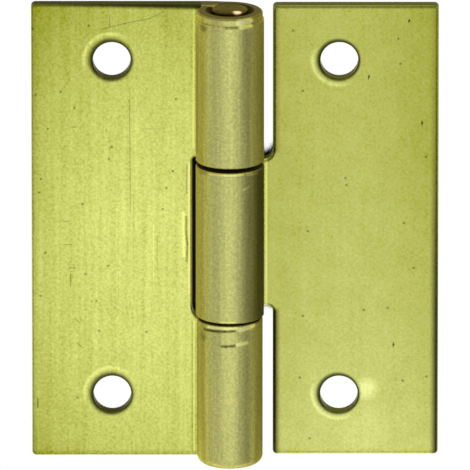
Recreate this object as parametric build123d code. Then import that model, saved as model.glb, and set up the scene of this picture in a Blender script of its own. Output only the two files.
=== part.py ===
# Small three-knuckle box hinge in sheet brass, lying open and flat on its back.
# Millimetres. X runs across the leaves, Y along the pin and Z up out of the leaves.
# The origin is on the surface that the leaves lie on, under the middle of the barrel.
from build123d import *

import os
from dataclasses import dataclass
from math import asin, cos, degrees, radians, sin

# Sheet and pin
sheet = 0.80                  # thickness of both leaves
pin_diameter = 1.94
pin_round = 0.12              # rounding of the pin's end at the top of the barrel
pin_chamfer = 0.10            # edge of the pin's other end
pin_proud = 0.10              # pin above the top knuckle's end
pin_sunk = 0.25               # pin inside the bottom knuckle's end
running_gap = 0.07            # loose bore to the pin, on the radius
seam_gap = 0.04               # rolled end of the sheet to the face of its own leaf

# Leaves: the left one carries the top and bottom knuckles, the right one the middle one
height = 25.40                # left leaf, along the pin
right_shortfall = 0.10        # right leaf shorter than the left one
left_reach = 10.70            # pin axis to the free edge
right_reach = 11.25
leaf_corner = 0.22            # corners of the leaves, in plan

# Notches that the other leaf's knuckles turn in
left_notch_gap = 0.20         # barrel to the edge beside it, across the leaves
right_notch_gap = 0.48
left_corner_high = 0.20       # corners of the notches, in plan
left_corner_low = 0.80
right_corner_high = 0.50
right_corner_low = 0.32
tab_run = 0.10                # straight edge between a notch corner and the tab
left_relief_high = -0.15      # notch edge set back from the end of the knuckle on the tab,
left_relief_low = 0.55        # or standing past it where the value is negative
right_relief_high = 0.03
right_relief_low = 0.16

# Knuckles
middle_length = 8.45
middle_drop = 0.18            # middle of this knuckle below the middle of the leaves
upper_gap = 0.25              # top knuckle to middle knuckle
lower_gap = 0.13              # middle knuckle to bottom knuckle
crimp_length = 0.45           # end of the top knuckle that is closed on the pin

# Screw holes, from the edges of the leaves
hole_diameter = 2.05
hole_from_top = 3.15
hole_from_bottom = 3.45
left_hole_inset = 4.34        # free edge to the hole's centre
right_hole_inset = 5.35

# Edges of the sheet, limited by its thickness: the punch draws the fronts of the leaves
# in, and leaves their backs and the bores nearly sharp
left_front_round = min(0.12, 0.45 * sheet)
right_front_round = min(0.20, 0.45 * sheet)
hole_front_round = min(0.13, 0.45 * sheet)
top_rim_round = min(0.15, 0.60 * sheet)       # outer edge of the barrel's top end
bottom_rim_round = min(0.45, 0.60 * sheet)    # outer edge of the barrel's bottom end
seam_round = min(0.10, 0.30 * sheet)          # outer edge of the rolled end of the sheet
back_chamfer = min(0.08, 0.45 * sheet)
hole_back_chamfer = min(0.05, 0.45 * sheet)
knuckle_chamfer = min(0.06, 0.60 * sheet)     # outer edge beside another knuckle
bore_chamfer = min(0.14, 0.35 * sheet)
mouth_chamfer = min(0.28, 0.35 * sheet)       # bore at the barrel's top end

# Places worked out from the sizes
pin_radius = pin_diameter / 2
barrel_radius = pin_radius + running_gap + sheet
axis_height = barrel_radius
barrel_axis = Axis((0, 0, axis_height), (0, -1, 0))
middle_high = middle_length / 2 - middle_drop
middle_low = middle_high - middle_length
top_low = middle_high + upper_gap
top_high = height / 2
bottom_high = middle_low - lower_gap
bottom_low = -height / 2


@dataclass
class Strip:
    """A stretch of a knuckle and of the tab that joins it to its leaf.

    An edge is given as the operation that finishes it and its size. It is None where
    another strip of the same knuckle follows.
    """

    low: float                # ends along Y where the sheet is rolled
    high: float
    tab_low: float            # ends along Y where the tab leaves the leaf
    tab_high: float
    play: float               # bore to the pin, on the radius
    rim_low: tuple | None     # outer edge of the barrel at each end
    rim_high: tuple | None
    bore: tuple               # edges of the bore

    def rolled_edges(self):
        """Edges of the rolled sheet, from the low back one round to the low front one."""
        low = self.rim_low and self.bore
        high = self.rim_high and self.bore
        return [self.rim_low, self.rim_high, high, low]

    def leaf_edges(self, front_round):
        """Edges of the tab where it leaves the leaf, in the same order."""
        back, front = (chamfer, back_chamfer), (fillet, front_round)
        return [
            self.rim_low and back, self.rim_high and back,
            self.rim_high and front, self.rim_low and front,
        ]


def sheet_section(x, low, high, back, edges):
    """Section of the sheet in the plane across X, its back face at the height given."""
    corners = [(low, back), (high, back), (high, back + sheet), (low, back + sheet)]
    section = make_face(Polyline(*corners, close=True))
    for corner, edge in zip(corners, edges):
        if edge:
            finish, size = edge
            section = finish(section.vertices().sort_by_distance(corner)[0], size)
    return Plane.YZ.offset(x) * section


def rolled_strip(strip, tab, front_round):
    """Tab from the leaf to under the pin, and the sheet rolled on from there.

    The roll starts straight under the pin, where its edges are finished as on the
    barrel, and the tab lets them fade into the leaf's own edges.
    """
    radius = pin_radius + strip.play + sheet
    rolled = sheet_section(
        0, strip.low, strip.high, axis_height - radius, strip.rolled_edges(),
    )
    at_leaf = sheet_section(
        -tab, strip.tab_low, strip.tab_high, 0, strip.leaf_edges(front_round),
    )
    below_axis = degrees(asin((axis_height - sheet - seam_gap) / radius))
    roll = revolve(rolled, barrel_axis, 270 + below_axis)
    return loft([at_leaf, rolled], ruled=True) + soften_seam(roll, strip, radius, below_axis)


def soften_seam(roll, strip, radius, below_axis):
    """The roll with the outer edge of its free end rounded."""
    seam = Vector(
        -radius * cos(radians(below_axis)),
        (strip.low + strip.high) / 2,
        axis_height - radius * sin(radians(below_axis)),
    )
    edge = roll.edges().filter_by(Axis.Y).sort_by_distance(seam)[0]
    return fillet(edge, seam_round)


def leaf_plate(outline, radii, tab, holes, front_round):
    """Flat of a leaf, its edges finished except where the tabs leave it."""
    plate = extrude(make_face(FilletPolyline(*outline, radius=radii, close=True)), sheet)
    for level, finish, size in ((sheet, fillet, front_round), (0, chamfer, back_chamfer)):
        rim = plate.edges().filter_by_position(Axis.Z, level, level)
        plate = finish([edge for edge in rim if (edge @ 0.5).X < -tab - tab_run / 4], size)
    for x, y in holes:
        plate -= screw_hole(x, y)
    return plate


def screw_hole(x, y):
    """Punched hole, its rim drawn in at the front and nearly sharp at the back."""
    wall = hole_diameter / 2
    clear = 2 * wall
    path = FilletPolyline(
        (0, -sheet), (clear, -sheet), (clear, 0), (wall + hole_back_chamfer, 0),
        (wall, hole_back_chamfer), (wall, sheet), (clear, sheet), (clear, 2 * sheet), (0, 2 * sheet),
        radius=[0, 0, 0, 0, hole_front_round, 0, 0],
    )
    half = Plane.XZ * make_face(path + Line(path @ 1, path @ 0))
    return Pos(x, y, 0) * revolve(half, Axis.Z)


def hole_places(reach, inset):
    """Centres of a leaf's two screw holes."""
    levels = (height / 2 - hole_from_top, hole_from_bottom - height / 2)
    return [(inset - reach, level) for level in levels]


def left_leaf():
    """Leaf whose top and bottom are rolled round the pin."""
    half = height / 2
    notch_reach = barrel_radius + left_notch_gap
    notch_high = top_low + left_relief_high
    notch_low = bottom_high - left_relief_low
    tab = notch_reach - max(left_corner_high, left_corner_low) - tab_run
    crimp = top_high - crimp_length
    beside, bore = (chamfer, knuckle_chamfer), (chamfer, bore_chamfer)
    top, mouth = (fillet, top_rim_round), (chamfer, mouth_chamfer)
    bottom = (fillet, bottom_rim_round)
    strips = [
        Strip(top_low, crimp, notch_high, crimp, running_gap, beside, None, bore),
        Strip(crimp, top_high, crimp, half, 0, None, top, mouth),
        Strip(bottom_low, bottom_high, bottom_low, notch_low, 0, bottom, beside, bore),
    ]
    outline = [
        (-tab, half), (-left_reach, half), (-left_reach, -half), (-tab, -half),
        (-tab, notch_low), (-notch_reach, notch_low), (-notch_reach, notch_high), (-tab, notch_high),
    ]
    radii = [0, leaf_corner, leaf_corner, 0, 0, left_corner_low, left_corner_high, 0]
    holes = hole_places(left_reach, left_hole_inset)
    leaf = leaf_plate(outline, radii, tab, holes, left_front_round)
    for strip in strips:
        leaf += rolled_strip(strip, tab, left_front_round)
    return leaf


def right_leaf():
    """Leaf whose middle is rolled round the pin, drawn as a left leaf and mirrored."""
    half = (height - right_shortfall) / 2
    notch_reach = barrel_radius + right_notch_gap
    tab_high = middle_high - right_relief_high
    tab_low = middle_low + right_relief_low
    tab = notch_reach - max(right_corner_high, right_corner_low) - tab_run
    beside, bore = (chamfer, knuckle_chamfer), (chamfer, bore_chamfer)
    strip = Strip(middle_low, middle_high, tab_low, tab_high, running_gap, beside, beside, bore)
    outline = [
        (-notch_reach, half), (-right_reach, half), (-right_reach, -half), (-notch_reach, -half),
        (-notch_reach, tab_low), (-tab, tab_low), (-tab, tab_high), (-notch_reach, tab_high),
    ]
    radii = [leaf_corner] * 4 + [right_corner_low, 0, 0, right_corner_high]
    holes = hole_places(right_reach, right_hole_inset)
    leaf = leaf_plate(outline, radii, tab, holes, right_front_round)
    leaf += rolled_strip(strip, tab, right_front_round)
    return mirror(leaf, about=Plane.YZ)


def pin():
    """Plain round pin, rounded at the end in view and cut off at the other."""
    low = bottom_low + pin_sunk
    high = top_high + pin_proud
    body = extrude(Plane.XZ.offset(-low) * Circle(pin_radius), low - high)
    body = fillet(body.edges().sort_by(Axis.Y)[-1], pin_round)
    body = chamfer(body.edges().sort_by(Axis.Y)[0], pin_chamfer)
    return Pos(0, 0, axis_height) * body


os.makedirs("parts", exist_ok=True)
export_step(left_leaf(), "parts/left_leaf.step")
export_step(right_leaf(), "parts/right_leaf.step")
export_step(pin(), "parts/pin.step")
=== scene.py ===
# Looks of the box hinge: worn brass finishes, white paper, soft light and the camera.
# Metres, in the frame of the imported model. Patterns in the materials are in millimetres.
from dataclasses import dataclass
from math import cos, radians, sin

import bpy
from mathutils import Matrix, Vector

MM = 0.001
WHITE = (1.0, 1.0, 1.0, 1.0)
STROKE = "stroke"              # name of the node group that draws a scratch

# Camera, matched to the photograph
CAMERA_TILT = 16.8             # degrees from straight above, towards the barrel's top end
CAMERA_LENS = 1500.0           # millimetres
SENSOR_WIDTH = 36.0            # millimetres
CLIP_START = 0.01              # metres
CLIP_END = 10.0
VIEW_WIDTH = 25.35 * MM        # what the frame spans at the pin's height
VIEW_CENTRE = Vector((0.276, 0.072, 1.84)) * MM

# Light from the world. Each light grows over a span of the cosine with its direction.
OVERHEAD = (0.0, -0.289, 0.957)
OVERHEAD_SPAN = (0.82, 1.0)
OVERHEAD_LEVEL = 1.064
SIDE_SPAN = (0.50, 0.95)       # towards +X, where the light all round grows weaker
SIDE_LEVELS = (0.552, 0.256)
WINDOW = (0.70, 0.66, 0.27)
WINDOW_SPAN = (0.965, 0.99)
WINDOW_LEVEL = 2.0
END_SPAN = (0.60, 0.85)        # towards +Y and -Y
END_LEVEL = 0.28

# White paper, with painted shade where the hinge closes it in
PAPER_SIZE = 4.0
PAPER_DROP = 0.02 * MM         # below the backs of the leaves, so that they stay apart
PAPER_TONES = (0.02, 0.93)     # painted shade where it is closed in, and white where it is open
PAPER_GLOW = 0.80              # added where the camera or a reflection sees it
GAP_REACH = 1.2 * MM           # how far from the paper the sides of a gap count
GAP_SPAN = (0.36, 0.40)        # openness over which the paper goes from dark to white
GAP_SAMPLES = 96

# Sizes of the hinge that the finishes follow. All further lengths are in millimetres.
AXIS_HEIGHT = 1.84
PLATE_SIDE = (1.50, 1.56)      # the flats are in view outside this distance from the pin
PLATE_LEVEL = (0.90, 0.85)     # and below this height
FRONT_LEVEL = (0.50, 0.60)     # marks lie on faces above this height
HOLE_RADIUS = 1.025
BARREL_END = 12.70             # end face of the top knuckle
CRIMP_START = 12.25            # step where that knuckle is closed on the pin
MOUTH_RADIUS = 1.28            # outer edge of the chamfer in that face

# Colours of the metal, linear
LEFT_DULL = (0.425, 0.450, 0.067, 1.0)
LEFT_BRIGHT = (0.705, 0.750, 0.190, 1.0)
RIGHT_DULL = (0.430, 0.450, 0.074, 1.0)
RIGHT_BRIGHT = (0.710, 0.745, 0.232, 1.0)
BARREL_BRASS = (0.650, 0.645, 0.215, 1.0)
# Painted reflection of the leaves on the knuckles' flanks
FLANK_REFLECTED_BRASS = (0.575, 0.525, 0.105, 1.0)
END_BROWN = (0.130, 0.105, 0.035, 1.0)
# Cut faces: dark metal, darkened further by painted shade
LEFT_SHEARED = (0.014, 0.012, 0.002, 1.0)
RIGHT_SHEARED = (0.070, 0.065, 0.012, 1.0)
# Painted shadow in the chamfered mouth of the top knuckle's bore
MOUTH_SHADOW = (0.045, 0.030, 0.008, 1.0)
PIN_BRASS = (0.064, 0.044, 0.010)
# Painted highlight on the pin's end
PIN_HIGHLIGHT = (1.000, 0.700, 0.400, 1.0)
GRAZING_TINT = (0.55, 0.55, 0.42, 1.0)

# Noises as scale, detail and roughness
STREAK_NOISE = (3.5, 3.0, 0.65)
GRAIN_NOISE = (7.0, 1.0, 0.5)
CLOUD_NOISE = (0.8, 2.0, 0.5)
PIN_GRAIN_NOISE = (7.0, 3.0, 0.6)
PIN_BLOTCH_NOISE = (1.6, 2.0, 0.5)
EVEN = (1.0, 1.0, 1.0)
ALONG_PIN = (1.0, 0.03, 1.0)   # draws a noise out into streaks
NOISE_TURN = (0.35, 0.55, 0.75)  # radians

# How strongly the noises show, as shares of the brightness and as heights
CLOUD = 0.03
KNUCKLE_STREAK = 0.17
KNUCKLE_GRAIN = 0.16
PIN_BLOTCH = 0.45
PIN_GRAIN = 0.15
STREAK_HEIGHT = 0.0004
GRAIN_HEIGHT = 0.0006
MARK_HEIGHT = 0.004
PIN_GRAIN_HEIGHT = 0.004

# Roughness, lowest and highest
FRONT_ROUGHNESS = (0.27, 0.37)
KNUCKLE_ROUGHNESS = (0.42, 0.75)
PIN_ROUGHNESS = (0.32, 0.45)

# Fronts of the leaves. A span gives where a change starts and where it is complete.
TONE_SPAN = (0.45, 0.75)       # tones of the dull and of the bright colour
TEXTURE_TONE = 1.6             # how far the noises change the tone
BESIDE_BARREL = (3.0, 1.9)     # paler towards the barrel
BESIDE_BARREL_TONE = 0.07
BOTTOM_EDGE = (-12.30, -12.60)
BOTTOM_EDGE_TONE = 0.13
LEFT_EDGE = (-10.35, -10.65)
LEFT_EDGE_SHADE = 0.20
RIGHT_EDGE = (10.75, 11.15)
RIGHT_EDGE_RUN = (12.0, -6.0)  # its shade grows down the leaf
RIGHT_EDGE_SHADES = (0.25, 0.85)
NOTCH_EDGE = (2.39, 2.79)      # the right leaf's edge beside its notches
NOTCH_EDGE_RUN = (-6.0, 8.0)   # its light grows up the leaf
NOTCH_EDGE_LIGHT = (0.10, 0.55)
BEYOND_TAB = (4.2, 4.6)        # distance along the pin where these notches start
LIP_HIGHLIGHT_SPAN = (2.6, 2.4)     # the left leaf's edge beside its notch, which gets a painted highlight
LIP_FACING = (0.99, 0.90)      # upward part of the facing direction, where that edge rounds
LIP_END_FACING = (0.4, 0.2)    # part along the pin, which leaves out the notch's ends
SHEARED_FACING = (0.55, 0.15)  # upward part, at the cut faces
SPECK = (0.11, 0.02)           # distance from its centre
SPECK_DEPTH = 0.45
MARK_SHADE = 1.25              # how much a mark's depth darkens it
DARKEST_MARK = 0.06
SPOT_CORE = 0.2                # a spot is full within this share of its radius

# Rims of the screw holes
RIM_SHIFT = (-0.05, 0.05)      # the painted shade lies off centre
RIM_CORE = 0.05                # the painted shade is full at this distance from the hole
RIM_SHADE = 0.85
BAND_OFFSET = 0.12             # middle of the band of painted highlight outside the shade
BAND_HALF_WIDTH = 0.17
BAND_SIDE = (0.1, 1.1)         # distance towards the leaf's glow side
BAND_TONE = 0.25

# Knuckles. Spans of the facing direction are parts of it along one axis.
UPPER_HALF = (AXIS_HEIGHT, AXIS_HEIGHT + 0.3)  # heights at which the marks set in
FLANK_FACING = (0.98, 0.55)    # upward part, from the crown to the flanks with their painted reflection
DULL_FACING = (0.95, 0.45)     # upward part, from the crown to the rough flanks
BRIGHT_FACING = (-0.75, -0.97) # towards -X, where painted light brightens the knuckles
BRIGHT_GAIN = 0.20
SEAM_FACING = (0.12, 0.90)     # towards the side where the roll meets its leaf, which gets painted shade
SEAM_UPWARD = (-0.45, 0.0)
TOP_RIM = (CRIMP_START, BARREL_END - 0.2)
TOP_RIM_FACING = (0.05, 0.50)  # part along the pin, on the rounded rim
TOP_RIM_SHADE = 0.50
END_FACING = (0.80, 0.97)      # part along the pin, at the brown ends
END_CLEAR = (0.02, 0.06)       # distance from the crimp's step, which is no such end
MOUTH_EDGE = (MOUTH_RADIUS + 0.08, MOUTH_RADIUS)
MOUTH_DEPTH = (BARREL_END - 0.5, BARREL_END - 0.4)

# Painted highlight on the edge of the pin's end, and the distances over which it sets in
PIN_HIGHLIGHT_SPOT = (0.38, 12.76, 2.57)
PIN_HIGHLIGHT_EDGE = (0.32, 0.08)

# Painted shading across each leaf's front, as a quadratic in x and y: constant, x, y, xx, yy, xy
LEFT_PAINTED_SHADING = (0.675, -0.0429, -0.0051, -0.00485, -0.00124, -0.0001)
RIGHT_PAINTED_SHADING = (0.410, 0.0542, -0.0037, -0.00434, 0.00027, -0.0005)

# Scratches as (start, end, half width, depth), negative where the metal shines
# The bright strokes beside the barrel and the left notch are painted highlights
LEFT_SCRATCHES = (
    ((-6.95, 11.31), (-5.66, 11.65), 0.053, 0.32),
    ((-5.66, 11.65), (-4.31, 11.93), 0.053, 0.32),
    ((-4.31, 11.93), (-3.61, 12.29), 0.053, 0.27),
    ((-6.47, 12.10), (-6.47, 11.48), 0.053, 0.27),
    ((-5.41, 7.31), (-5.37, 1.00), 0.053, 0.27),
    ((-5.19, 2.29), (-5.19, -3.90), 0.045, 0.15),
    ((-6.03, 0.88), (-6.03, -3.90), 0.045, 0.13),
    ((-3.93, -0.30), (-3.93, -2.21), 0.053, 0.21),
    ((-4.12, 0.30), (-4.12, -2.80), 0.045, -0.22),
    ((-3.88, 6.86), (-2.26, 6.83), 0.045, 0.15),
    ((-4.74, 5.73), (-3.82, 5.73), 0.045, 0.15),
    ((-8.62, 5.84), (-8.25, 5.84), 0.053, 0.32),
    ((-8.84, -0.78), (-8.52, -0.78), 0.053, 0.32),
    ((-8.68, -2.10), (-8.30, -2.10), 0.053, 0.36),
    ((-9.00, 0.52), (-8.68, 0.52), 0.053, 0.32),
    ((-8.61, -2.44), (-8.60, -3.12), 0.053, 0.42),
    ((-8.41, -4.92), (-8.19, -5.14), 0.040, 0.45),
    ((-8.25, -6.33), (-8.03, -6.55), 0.040, 0.45),
    ((-10.40, -9.48), (-10.40, -9.99), 0.060, 0.52),
    ((-2.31, 3.70), (-2.34, 2.10), 0.080, 0.30),
    ((-2.37, 0.75), (-2.37, 0.00), 0.130, 0.45),
    ((-2.36, -0.13), (-2.29, -0.78), 0.130, 0.50),
    ((-2.29, -0.91), (-2.33, -1.70), 0.120, 0.40),
    ((-2.50, 1.00), (-2.48, -1.40), 0.160, -0.40),
    ((-2.19, 3.80), (-2.19, -3.50), 0.090, -0.35),
    ((-1.92, 12.40), (-1.95, 4.70), 0.110, -0.42),
    ((-2.04, -5.10), (-2.04, -12.50), 0.055, 0.28),
    ((-1.93, -5.10), (-1.93, -12.50), 0.080, -0.25),
)
RIGHT_SCRATCHES = (
    ((9.66, 11.86), (9.62, 11.70), 0.060, 0.45),
    ((10.36, 6.20), (10.36, 5.90), 0.050, 0.52),
    ((7.50, 8.76), (7.46, 8.50), 0.045, 0.52),
    ((4.30, 10.60), (4.60, 10.20), 0.030, 0.30),
    ((8.85, -6.30), (8.82, -6.60), 0.045, 0.52),
    ((1.93, 4.00), (1.93, -4.20), 0.140, -0.75),
)

# Marks on the upper half of the knuckles, given in the same way; the bright ones are painted
# highlights
# The dark strokes along the bottom knuckle's top edge and down the knuckles' left sides are
# painted shade
END_KNUCKLE_MARKS = (
    ((-1.65, -4.55), (1.55, -4.55), 0.07, 0.80),
    ((-1.34, -4.90), (0.25, -4.82), 0.14, 0.80),
    ((-1.15, -4.71), (-0.62, -4.68), 0.13, -0.80),
    ((-0.50, -4.68), (0.40, -4.67), 0.12, -0.75),
    ((0.60, -4.77), (1.25, -4.67), 0.20, -1.50),
    ((-0.43, -5.70), (0.26, -5.66), 0.14, 0.80),
    ((0.43, -5.60), (0.90, -5.56), 0.17, -1.20),
    ((-0.20, 12.20), (0.40, 12.20), 0.11, 0.60),
    ((0.60, 12.19), (1.15, 12.21), 0.14, -1.50),
    ((0.50, 12.46), (1.05, 12.50), 0.24, -2.20),
    ((-1.76, 11.90), (-1.76, 4.90), 0.10, 0.32),
    ((-1.76, -5.00), (-1.76, -12.20), 0.10, 0.32),
    ((-1.42, 12.06), (-1.42, 12.00), 0.30, 0.55),
    ((-1.45, -5.33), (-1.45, -5.40), 0.28, 0.40),
)
MIDDLE_KNUCKLE_MARKS = (
    ((0.76, 3.10), (1.03, 3.26), 0.11, -0.60),
    ((-1.60, 3.86), (-1.20, 3.93), 0.14, 0.35),
    ((-1.20, 3.94), (-0.30, 3.97), 0.10, -0.45),
    ((-0.30, 3.97), (0.70, 3.96), 0.10, -0.70),
    ((0.95, 3.93), (1.45, 3.88), 0.12, -0.80),
    ((-0.50, -4.34), (0.30, -4.34), 0.10, -0.50),
)

# Small dark specks on the fronts, and broad painted highlights as (centre, radius, strength)
LEFT_SPECKS = (
    (-7.60, 11.53), (-10.62, 11.36), (-9.11, 7.81), (-10.46, 7.65), (-8.38, 6.91), (-9.81, 5.73),
    (-6.38, 4.72), (-6.52, 4.04), (-10.19, 2.91), (-10.30, 2.15), (-7.95, 1.50), (-3.07, 3.36),
    (-3.42, 2.41), (-3.63, 1.22), (-2.91, 7.42), (-9.97, -1.26), (-7.81, -2.44), (-6.57, -1.99),
    (-7.06, -5.65), (-7.22, -3.96), (-10.24, -3.68), (-8.25, -9.43), (-4.52, -5.71),
)
RIGHT_SPECKS = (
    (3.40, 11.25), (9.66, 11.81), (9.07, 10.80), (7.50, 8.66), (3.94, 7.87), (10.36, 6.07),
    (6.24, 2.97), (6.29, 2.57), (9.18, 9.39), (9.39, 0.43), (10.58, 4.15), (8.53, -4.36),
    (7.23, -4.47), (3.94, -4.81), (9.93, -2.10), (4.21, -0.02), (3.78, -8.30), (9.34, -8.47),
    (10.63, -8.24), (8.85, -6.44), (4.32, -11.74),
)
LEFT_SHINE = (((-5.40, 0.60), 2.6, 0.03),)
RIGHT_SHINE = (((7.40, -8.95), 0.85, 0.30), ((7.40, -11.20), 1.60, 0.07))


@dataclass
class Leaf:
    """What is particular to the finish of one leaf and its knuckles."""

    tone: tuple            # painted shading across the front, as a quadratic in x and y
    dull: tuple            # colours at the ends of the range of tones
    bright: tuple
    sheared: tuple         # colour of the cut faces, dark metal deepened by painted shade
    holes: tuple           # centres of the screw holes
    glow_side: tuple       # side of each hole on which its rim is bright
    scratches: tuple
    specks: tuple
    shine: tuple
    knuckle_marks: tuple
    streak: float          # strength of the rolling streaks
    grain: float           # strength of the mottled grain
    seam: float            # how much painted shade darkens the side where the roll meets its leaf
    rim: float             # width of the painted shade round each hole
    lip_highlight: float         # how much a painted highlight brightens the edge beside the notch
    top_edge: tuple        # dark top edge: start, end, lean with x, strength


LEFT = Leaf(
    tone=LEFT_PAINTED_SHADING, dull=LEFT_DULL, bright=LEFT_BRIGHT, sheared=LEFT_SHEARED,
    holes=((-6.36, 9.55), (-6.36, -9.25)), glow_side=(-0.6, 0.8, 0.0),
    scratches=LEFT_SCRATCHES, specks=LEFT_SPECKS, shine=LEFT_SHINE,
    knuckle_marks=END_KNUCKLE_MARKS, streak=0.105, grain=0.130, seam=0.33,
    rim=0.32, lip_highlight=1.5, top_edge=(12.27, 12.53, 0.024, 0.92),
)
RIGHT = Leaf(
    tone=RIGHT_PAINTED_SHADING, dull=RIGHT_DULL, bright=RIGHT_BRIGHT, sheared=RIGHT_SHEARED,
    holes=((5.90, 9.55), (5.90, -9.25)), glow_side=(-0.7, -0.7, 0.0),
    scratches=RIGHT_SCRATCHES, specks=RIGHT_SPECKS, shine=RIGHT_SHINE,
    knuckle_marks=MIDDLE_KNUCKLE_MARKS, streak=0.055, grain=0.095, seam=0.80,
    rim=0.26, lip_highlight=0.0, top_edge=(12.46, 12.60, 0.0, 0.60),
)


class Graph:
    """Short calls that add and join the nodes of one material, world or group."""

    def __init__(self, tree):
        self.tree = tree
        tree.nodes.clear()

    def add(self, kind, **settings):
        """A new node with some of its settings."""
        node = self.tree.nodes.new(kind)
        for name, value in settings.items():
            setattr(node, name, value)
        return node

    def feed(self, socket, value):
        """Joins a socket to another one, or sets it to a plain value."""
        if isinstance(value, Value):
            value = value.socket
        if isinstance(value, bpy.types.NodeSocket):
            self.tree.links.new(value, socket)
        else:
            socket.default_value = value

    def fill(self, node, values):
        """Feeds a node's sockets, in order or by a dictionary's keys, and gives it back."""
        items = values.items() if isinstance(values, dict) else enumerate(values)
        for key, value in items:
            self.feed(node.inputs[key], value)
        return node

    def math(self, operation, *values):
        """A number worked out from other numbers."""
        node = self.fill(self.add("ShaderNodeMath", operation=operation), values)
        return Value(self, node.outputs[0])

    def vector(self, operation, *values):
        """A vector made from other vectors."""
        node = self.fill(self.add("ShaderNodeVectorMath", operation=operation), values)
        return node.outputs[0]

    def number(self, operation, *vectors):
        """A dot product, length or distance."""
        node = self.fill(self.add("ShaderNodeVectorMath", operation=operation), vectors)
        return Value(self, node.outputs["Value"])

    def scaled(self, vector, factor):
        """A vector or colour times a number."""
        node = self.add("ShaderNodeVectorMath", operation="SCALE")
        return self.fill(node, {0: vector, "Scale": factor}).outputs[0]

    def split(self, vector):
        """The three numbers of a vector."""
        node = self.fill(self.add("ShaderNodeSeparateXYZ"), [vector])
        return [Value(self, output) for output in node.outputs]

    def join(self, x, y, z):
        """A vector from three numbers."""
        return self.fill(self.add("ShaderNodeCombineXYZ"), (x, y, z)).outputs[0]

    def ease(self, value, start, end, low=0.0, high=1.0):
        """Goes smoothly from low to high while the value goes from start to end."""
        node = self.add("ShaderNodeMapRange", interpolation_type="SMOOTHSTEP")
        return Value(self, self.fill(node, (value, start, end, low, high)).outputs[0])

    def turned(self, point, scale):
        """The point scaled and turned, so that the cells of a noise line up with no edge."""
        node = self.add("ShaderNodeMapping")
        settings = {"Vector": point, "Scale": scale, "Rotation": NOISE_TURN}
        return self.fill(node, settings).outputs[0]

    def noise(self, point, kind):
        """Soft noise of about -1 to 1, its kind given as scale, detail and roughness."""
        scale, detail, roughness = kind
        settings = {"Vector": point, "Scale": scale, "Detail": detail, "Roughness": roughness}
        node = self.fill(self.add("ShaderNodeTexNoise"), settings)
        return (Value(self, node.outputs[0]) - 0.5) * 4.0

    def mix(self, share, first, second, clamp=True):
        """Two colours mixed, the share being that of the second one."""
        node = self.add("ShaderNodeMix", data_type="RGBA", clamp_factor=clamp)
        return self.fill(node, {0: share, 6: first, 7: second}).outputs[2]

    def ray(self, kind):
        """1 for rays of one kind, such as Camera, and 0 for the others."""
        return Value(self, self.add("ShaderNodeLightPath").outputs[f"Is {kind} Ray"])

    def finish(self, kind, surface):
        """Joins the surface to a new output node."""
        self.feed(self.add(kind).inputs["Surface"], surface)


class Value:
    """A number in a node tree, which can be written in sums and products."""

    def __init__(self, graph, socket):
        self.graph = graph
        self.socket = socket

    def __add__(self, other):
        return self.graph.math("ADD", self, other)

    def __sub__(self, other):
        return self.graph.math("SUBTRACT", self, other)

    def __mul__(self, other):
        return self.graph.math("MULTIPLY", self, other)

    def __rsub__(self, other):
        return self.graph.math("SUBTRACT", other, self)

    def __abs__(self):
        return self.graph.math("ABSOLUTE", self)

    __radd__ = __add__
    __rmul__ = __mul__


def highest(first, second):
    """The larger of two numbers."""
    return first.graph.math("MAXIMUM", first, second)


def new_material(name):
    """A new material and the graph of its nodes."""
    material = bpy.data.materials.new(name)
    material.use_nodes = True
    return material, Graph(material.node_tree)


def brass(name, build):
    """A metal material whose colour, roughness and bump come from a build function."""
    material, graph = new_material(name)
    shader = graph.add("ShaderNodeBsdfPrincipled")
    bump = graph.add("ShaderNodeBump")
    colour, rough, height = build(graph)
    graph.fill(bump, {"Strength": 1.0, "Distance": MM, "Height": height})
    graph.fill(shader, {
        "Metallic": 1.0, "Specular Tint": GRAZING_TINT,
        "Base Color": colour, "Roughness": rough, "Normal": bump.outputs[0],
    })
    graph.finish("ShaderNodeOutputMaterial", shader.outputs[0])
    return material


def places(graph):
    """The point in millimetres and the facing direction, both in the hinge's own frame."""
    source = graph.add("ShaderNodeTexCoord")
    return graph.scaled(source.outputs["Object"], 1 / MM), source.outputs["Normal"]


def stroke_group():
    """Makes the node group that says how far a straight scratch covers a point, 0 to 1."""
    tree = bpy.data.node_groups.new(STROKE, "ShaderNodeTree")
    graph = Graph(tree)
    for name, kind in (("Point", "Vector"), ("Start", "Vector"), ("Along", "Vector"),
                       ("Per Square", "Float"), ("Half Width", "Float")):
        tree.interface.new_socket(name, in_out="INPUT", socket_type=f"NodeSocket{kind}")
    tree.interface.new_socket("Cover", in_out="OUTPUT", socket_type="NodeSocketFloat")
    given = graph.add("NodeGroupInput").outputs
    offset = graph.vector("SUBTRACT", given["Point"], given["Start"])
    share = graph.number("DOT_PRODUCT", offset, given["Along"]) * given["Per Square"]
    share = graph.math("MINIMUM", highest(share, 0.0), 1.0)
    nearest = graph.scaled(given["Along"], share)
    away = graph.number("DISTANCE", offset, nearest)
    cover = graph.ease(away, given["Half Width"], 0.0)
    graph.feed(graph.add("NodeGroupOutput").inputs[0], cover)


def scratches(graph, flat, strokes):
    """Sum of the scratches' depths at a point of the front."""
    total = None
    for start, end, half_width, depth in strokes:
        along = Vector((end[0] - start[0], end[1] - start[1], 0.0))
        node = graph.add("ShaderNodeGroup", node_tree=bpy.data.node_groups[STROKE])
        graph.fill(node, (flat, (*start, 0.0), along, 1 / along.length_squared, half_width))
        depth = Value(graph, node.outputs[0]) * depth
        total = depth if total is None else total + depth
    return total


def spots(graph, flat, items):
    """Sum of round soft spots, each given as (centre, radius, strength)."""
    total = None
    for centre, radius, strength in items:
        away = graph.number("DISTANCE", flat, (*centre, 0.0))
        spot = graph.ease(away, radius, radius * SPOT_CORE) * strength
        total = spot if total is None else total + spot
    return total


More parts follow.
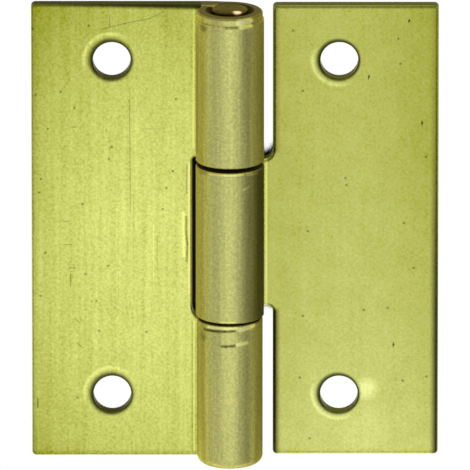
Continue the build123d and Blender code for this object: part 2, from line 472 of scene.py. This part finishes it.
def nearest_of(graph, flat, centres):
    """Distance to the nearest of some places."""
    nearest = None
    for centre in centres:
        away = graph.number("DISTANCE", flat, (*centre, 0.0))
        nearest = away if nearest is None else graph.math("MINIMUM", nearest, away)
    return nearest


def quadratic(x, y, factors):
    """Value of a quadratic, its factors in the order that LEFT_PAINTED_SHADING gives."""
    constant, fx, fy, fxx, fyy, fxy = factors
    return constant + x * fx + y * fy + x * x * fxx + y * y * fyy + x * y * fxy


def hole_rims(graph, flat, leaf):
    """Painted shade on the rim of each screw hole, and a band of painted highlight on one side
    outside it.
    """
    painted_shade = rim_highlight = None
    for x, y in leaf.holes:
        offset = graph.vector("SUBTRACT", flat, (x + RIM_SHIFT[0], y + RIM_SHIFT[1], 0.0))
        away = graph.number("LENGTH", offset) - HOLE_RADIUS
        rim = graph.ease(away, leaf.rim, RIM_CORE)
        highlight_side = graph.ease(graph.number("DOT_PRODUCT", offset, leaf.glow_side), *BAND_SIDE)
        band = graph.ease(abs(away - leaf.rim - BAND_OFFSET), BAND_HALF_WIDTH, 0.0) * highlight_side
        painted_shade = rim if painted_shade is None else highest(painted_shade, rim)
        rim_highlight = band if rim_highlight is None else highest(rim_highlight, band)
    return painted_shade, rim_highlight


def edge_light(graph, leaf, x, y):
    """How much light is left near the edges that the punch drew in."""
    start, end, lean, strength = leaf.top_edge
    top = graph.ease(y - abs(x) * lean, start, end) * strength
    left = graph.ease(x, *LEFT_EDGE) * LEFT_EDGE_SHADE
    right = graph.ease(x, *RIGHT_EDGE) * graph.ease(y, *RIGHT_EDGE_RUN, *RIGHT_EDGE_SHADES)
    at_notch = graph.ease(abs(y), *BEYOND_TAB) * graph.ease(x, 0.0, 1.0)
    notch = graph.ease(x, *NOTCH_EDGE, graph.ease(y, *NOTCH_EDGE_RUN, *NOTCH_EDGE_LIGHT), 1.0)
    return (1.0 - top) * (1.0 - left) * (1.0 - right) * (1.0 + (notch - 1.0) * at_notch)


def sheet_metal(graph, leaf, flat, front, texture):
    """Colour of the flat of a leaf, and the depth of its marks."""
    x, y, _ = graph.split(flat)
    specks = graph.ease(nearest_of(graph, flat, leaf.specks), *SPECK) * SPECK_DEPTH
    marks = (scratches(graph, flat, leaf.scratches) + specks) * front
    painted_shade, rim_highlight = hole_rims(graph, flat, leaf)
    # The tone starts from the painted shading across the front, with painted highlights from the
    # shine spots and round the holes
    tone = quadratic(x, y, leaf.tone) + spots(graph, flat, leaf.shine) + rim_highlight * BAND_TONE
    tone = tone + graph.ease(abs(x), *BESIDE_BARREL) * BESIDE_BARREL_TONE
    tone = tone * (1.0 + texture * TEXTURE_TONE) - graph.ease(y, *BOTTOM_EDGE) * BOTTOM_EDGE_TONE
    low, high = TONE_SPAN
    colour = graph.mix((tone - low) * (1 / (high - low)), leaf.dull, leaf.bright, clamp=False)
    # Marks darken the metal, and so does the painted shade round the holes
    light = highest(1.0 - marks * MARK_SHADE, DARKEST_MARK) * (1.0 - painted_shade * front * RIM_SHADE)
    return graph.scaled(colour, light * edge_light(graph, leaf, x, y)), marks


def painted_lip_highlight(graph, leaf, x, facing):
    """Gain in brightness from a painted highlight on the rounded edge beside the notch."""
    _, ny, nz = facing
    rounded = graph.ease(abs(nz), *LIP_FACING) * graph.ease(abs(ny), *LIP_END_FACING)
    return rounded * graph.ease(abs(x), *LIP_HIGHLIGHT_SPAN) * leaf.lip_highlight


def knuckle_metal(graph, leaf, point, facing, texture):
    """Colour of the rolled sheet: duller, browner on its flanks from a painted reflection, with
    painted light, shade and highlights, and browner at its ends.
    """
    x, y, z = point
    nx, ny, nz = facing
    marks = scratches(graph, graph.join(x, y, 0.0), leaf.knuckle_marks)
    marks = marks * graph.ease(z, *UPPER_HALF)
    # Painted light on the flank facing -X
    lit_side = graph.ease(nx, *BRIGHT_FACING) * BRIGHT_GAIN
    # Painted shade on the side where the roll meets its leaf
    painted_shade = graph.ease(nx, *SEAM_FACING) * graph.ease(nz, *SEAM_UPWARD) * leaf.seam
    rim = graph.ease(abs(ny), *TOP_RIM_FACING) * graph.ease(y, *TOP_RIM) * TOP_RIM_SHADE
    light = (1.0 + texture + lit_side - marks) * (1.0 - painted_shade) * (1.0 - rim)

    # The flanks take a painted reflection of the leaves' colour
    colour = graph.mix(graph.ease(abs(nz), *FLANK_FACING), BARREL_BRASS, FLANK_REFLECTED_BRASS)
    colour = graph.scaled(colour, light)
    end = graph.ease(abs(ny), *END_FACING) * graph.ease(abs(y - CRIMP_START), *END_CLEAR)
    colour = graph.mix(end, colour, END_BROWN)
    # Painted shadow in the chamfered mouth of the bore at the top end
    radial = graph.number("LENGTH", graph.join(x, 0.0, z - AXIS_HEIGHT))
    mouth = graph.ease(radial, *MOUTH_EDGE) * graph.ease(y, *MOUTH_DEPTH)
    return graph.mix(mouth, colour, MOUTH_SHADOW)


def leaf_finish(leaf):
    """Build function for a leaf: rolled brass on its flats, duller brass on its knuckles."""

    def build(graph):
        point, direction = places(graph)
        x, y, z = graph.split(point)
        facing = graph.split(direction)
        upward = abs(facing[2])
        on_plate = graph.ease(abs(x), *PLATE_SIDE) * graph.ease(z, *PLATE_LEVEL)
        front = on_plate * graph.ease(z, *FRONT_LEVEL)

        streaks = graph.noise(graph.turned(point, ALONG_PIN), STREAK_NOISE)
        even = graph.turned(point, EVEN)
        grain = graph.noise(even, GRAIN_NOISE)
        clouds = graph.noise(even, CLOUD_NOISE)
        drawn = streaks * leaf.streak + grain * leaf.grain + clouds * CLOUD
        rolled = streaks * KNUCKLE_STREAK + grain * KNUCKLE_GRAIN

        sheet, marks = sheet_metal(graph, leaf, graph.join(x, y, 0.0), front, drawn)
        sheet = graph.scaled(sheet, 1.0 + painted_lip_highlight(graph, leaf, x, facing))
        sheet = graph.mix(graph.ease(upward, *SHEARED_FACING), sheet, leaf.sheared)
        knuckle = knuckle_metal(graph, leaf, (x, y, z), facing, rolled)
        metal = graph.mix(on_plate, knuckle, sheet)

        flank = graph.ease(upward, *DULL_FACING)
        dull = graph.ease(flank, 0.0, 1.0, *KNUCKLE_ROUGHNESS)
        worn = graph.ease(streaks + grain, -1.0, 1.0, *FRONT_ROUGHNESS)
        height = streaks * STREAK_HEIGHT + grain * GRAIN_HEIGHT - marks * MARK_HEIGHT
        return metal, dull + (worn - dull) * on_plate, height

    return build


def pin_finish(graph):
    """Dark brown brass, with one painted highlight on the edge of the end in view."""
    point, _ = places(graph)
    grain = graph.noise(point, PIN_GRAIN_NOISE)
    blotch = graph.noise(point, PIN_BLOTCH_NOISE)
    colour = graph.scaled(PIN_BRASS, 1.0 + blotch * PIN_BLOTCH + grain * PIN_GRAIN)
    pin_highlight = graph.ease(graph.number("DISTANCE", point, PIN_HIGHLIGHT_SPOT), *PIN_HIGHLIGHT_EDGE)
    rough = graph.ease(grain, -1.0, 1.0, *PIN_ROUGHNESS)
    return graph.mix(pin_highlight, colour, PIN_HIGHLIGHT), rough, grain * PIN_GRAIN_HEIGHT


def studio():
    """Soft light, brightest overhead, and white where the camera looks past the part."""
    world = bpy.data.worlds.new("studio")
    bpy.context.scene.world = world
    world.use_nodes = True
    graph = Graph(world.node_tree)
    direction = graph.add("ShaderNodeTexCoord").outputs["Generated"]
    x, y, _ = graph.split(direction)

    side = graph.ease(x, *SIDE_SPAN, *SIDE_LEVELS)
    overhead = graph.number("DOT_PRODUCT", direction, OVERHEAD)
    window = graph.number("DOT_PRODUCT", direction, Vector(WINDOW).normalized())
    level = graph.ease(overhead, *OVERHEAD_SPAN, side, OVERHEAD_LEVEL)
    level = level + graph.ease(window, *WINDOW_SPAN) * WINDOW_LEVEL
    level = level + graph.ease(abs(y), *END_SPAN) * END_LEVEL
    plain = highest(graph.ray("Camera"), graph.ray("Diffuse"))
    level = level + (1.0 - level) * plain

    background = graph.fill(graph.add("ShaderNodeBackground"), {"Color": WHITE, "Strength": level})
    graph.finish("ShaderNodeOutputWorld", background.outputs[0])


def paper():
    """White paper under the hinge, with painted shade in narrow gaps.

    The camera sees past its white parts to the white behind, so that a leaf that has
    swung below it shows, and the backs of the leaves catch light through it.
    """
    bpy.ops.mesh.primitive_plane_add(size=PAPER_SIZE, location=(0.0, 0.0, -PAPER_DROP))
    sheet = bpy.context.object
    sheet.name = "floor"
    material, graph = new_material("white_paper")
    gaps = graph.add("ShaderNodeAmbientOcclusion", samples=GAP_SAMPLES)
    openness = Value(graph, graph.fill(gaps, {"Distance": GAP_REACH}).outputs["AO"])
    white = graph.ease(openness, *GAP_SPAN)
    tone = graph.ease(openness, *GAP_SPAN, *PAPER_TONES)
    camera_ray = graph.ray("Camera")
    glossy_ray = graph.ray("Glossy")

    shader = graph.fill(graph.add("ShaderNodeBsdfPrincipled"), {
        "Base Color": graph.join(tone, tone, tone), "Roughness": 1.0,
        "Specular IOR Level": 0.0, "Emission Color": WHITE,
        "Emission Strength": highest(camera_ray, glossy_ray) * white * PAPER_GLOW,
    })
    clear = graph.add("ShaderNodeBsdfTransparent")
    past = camera_ray * white + glossy_ray * (1.0 - white)
    blend = graph.add("ShaderNodeMixShader")
    graph.fill(blend, (past, shader.outputs[0], clear.outputs[0]))
    graph.finish("ShaderNodeOutputMaterial", blend.outputs[0])
    sheet.data.materials.append(material)


def camera():
    """Camera at the photograph's angle, so far off that parallel edges look parallel."""
    data = bpy.data.cameras.new("camera")
    data.lens = CAMERA_LENS
    data.sensor_width = SENSOR_WIDTH
    data.clip_start = CLIP_START
    data.clip_end = CLIP_END
    distance = VIEW_WIDTH * CAMERA_LENS / SENSOR_WIDTH
    right = Vector((1.0, 0.0, 0.0))
    back = Vector((0.0, sin(radians(CAMERA_TILT)), cos(radians(CAMERA_TILT))))
    turn = Matrix((right, back.cross(right), back)).transposed()

    viewer = bpy.data.objects.new("camera", data)
    viewer.location = VIEW_CENTRE + back * distance
    viewer.rotation_mode = "QUATERNION"
    viewer.rotation_quaternion = turn.to_quaternion()
    bpy.context.scene.collection.objects.link(viewer)
    bpy.context.scene.camera = viewer


def paint(node, material):
    """Gives a node this material alone."""
    node.data.materials.clear()
    node.data.materials.append(material)


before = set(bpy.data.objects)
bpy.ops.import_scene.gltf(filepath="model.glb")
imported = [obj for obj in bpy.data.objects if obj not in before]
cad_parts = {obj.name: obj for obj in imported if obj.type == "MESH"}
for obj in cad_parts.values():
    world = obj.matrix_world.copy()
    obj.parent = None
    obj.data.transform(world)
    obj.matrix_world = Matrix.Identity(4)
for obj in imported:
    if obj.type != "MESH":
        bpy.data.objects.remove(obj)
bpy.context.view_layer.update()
bpy.context.scene.view_settings.view_transform = "Standard"
camera()
studio()
paper()
stroke_group()
paint(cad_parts["left_leaf"], brass("left_leaf_brass", leaf_finish(LEFT)))
paint(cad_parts["right_leaf"], brass("right_leaf_brass", leaf_finish(RIGHT)))
paint(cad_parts["pin"], brass("pin_brass_dull", pin_finish))
